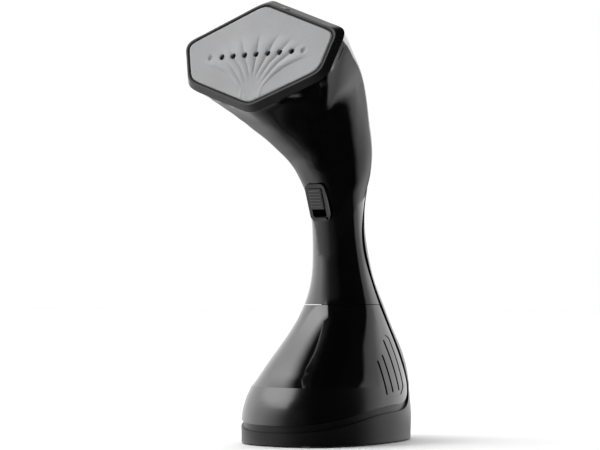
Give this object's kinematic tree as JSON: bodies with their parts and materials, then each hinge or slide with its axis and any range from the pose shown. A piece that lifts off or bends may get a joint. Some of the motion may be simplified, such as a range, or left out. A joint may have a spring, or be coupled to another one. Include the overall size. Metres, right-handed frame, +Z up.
{
  "type": "garment steamer",
  "caption": "Hand-held garment steamer: hexagonal steam head, handle with slide switch, and a flared water tank that pulls off an L-shaped base.",
  "frame": {"origin": "middle of the whole steamer's footprint, on the surface that it stands on", "axes": "+Z up, -Y the way the steam plate faces, +X to the side"},
  "size_m": [0.1266, 0.159, 0.2907],
  "materials": {
    "gloss_black": "high gloss",
    "matt_black": "fine matt",
    "satin_grey": "satin",
    "tank_gloss": "high gloss, smoked",
    "button_black": "satin",
    "plate_metal": "satin",
    "cast_metal": "as cast",
    "steel": "satin",
    "silicone": "soft",
    "rubber": "soft",
    "brown_resin": "matt",
    "white_nylon": "satin",
    "coil": "varnished wire"
  },
  "bodies": {
    "housing": {"front_housing": "gloss_black", "rear_housing": "matt_black", "head_collar": "satin_grey", "plate_gasket": "silicone", "steam_plate": "plate_metal", "steam_chamber": "cast_metal", "chamber_seal": "silicone", "chamber_cover": "cast_metal", "chamber_screws": "steel", "chamber_carrier": "brown_resin", "heating_element": "steel", "heater_terminals": "steel", "thermostat": "steel", "thermal_fuse": "brown_resin", "housing_screws": "steel", "switch_bezel": "gloss_black", "switch_frame": "matt_black", "micro_switch": "matt_black", "pump_body": "white_nylon", "pump_coil": "coil", "pump_spring": "steel", "pump_mounts": "silicone", "inlet_hose": "silicone", "outlet_hose": "silicone", "terminal_block": "matt_black", "cord_gland": "matt_black", "dock_socket": "matt_black", "dock_seal": "silicone", "bottom_plate": "matt_black", "bottom_screws": "steel", "rubber_feet": "rubber"},
    "slide_button": {"steam_slide": "button_black"},
    "plunger": {"switch_plunger": "button_black"},
    "tank": {"water_tank": "tank_gloss", "grip_left": "tank_gloss", "grip_right": "tank_gloss", "valve_body": "white_nylon", "valve_spring": "steel"},
    "cap": {"filler_cap": "button_black", "filler_seal": "silicone"},
    "poppet": {"valve_poppet": "white_nylon"},
    "piston": {"pump_piston": "steel"}
  },
  "joints": [
    {"name": "switch_slide", "type": "slide", "parent": "housing", "child": "slide_button", "axis": [0, 0.3502, -0.9367], "range_m": [0, 0.005]},
    {"name": "plunger_press", "type": "slide", "parent": "housing", "child": "plunger", "axis": [0, 0.9367, 0.3502], "range_m": [0, 0.0015]},
    {"name": "tank_pull", "type": "slide", "parent": "housing", "child": "tank", "axis": [0, -1, 0], "range_m": [0, 0.09]},
    {"name": "cap_turn", "type": "hinge", "parent": "tank", "child": "cap", "pos_m": [0, 0.01936, 0.088], "axis": [0, 0, 1], "range_deg": [0, 90]},
    {"name": "valve_close", "type": "slide", "parent": "tank", "child": "poppet", "axis": [0, 1, 0], "range_m": [0, 0.002]},
    {"name": "pump_stroke", "type": "slide", "parent": "housing", "child": "piston", "axis": [0, 0, 1], "range_m": [0, 0.0025], "stiffness_N_per_m": 150, "deforming": ["pump_spring"]}
  ],
  "couplings": [
    {"joint": "plunger_press", "follows": "switch_slide", "ratio": 0.3},
    {"joint": "valve_close", "follows": "tank_pull", "ratio": 0.022222}
  ]
}
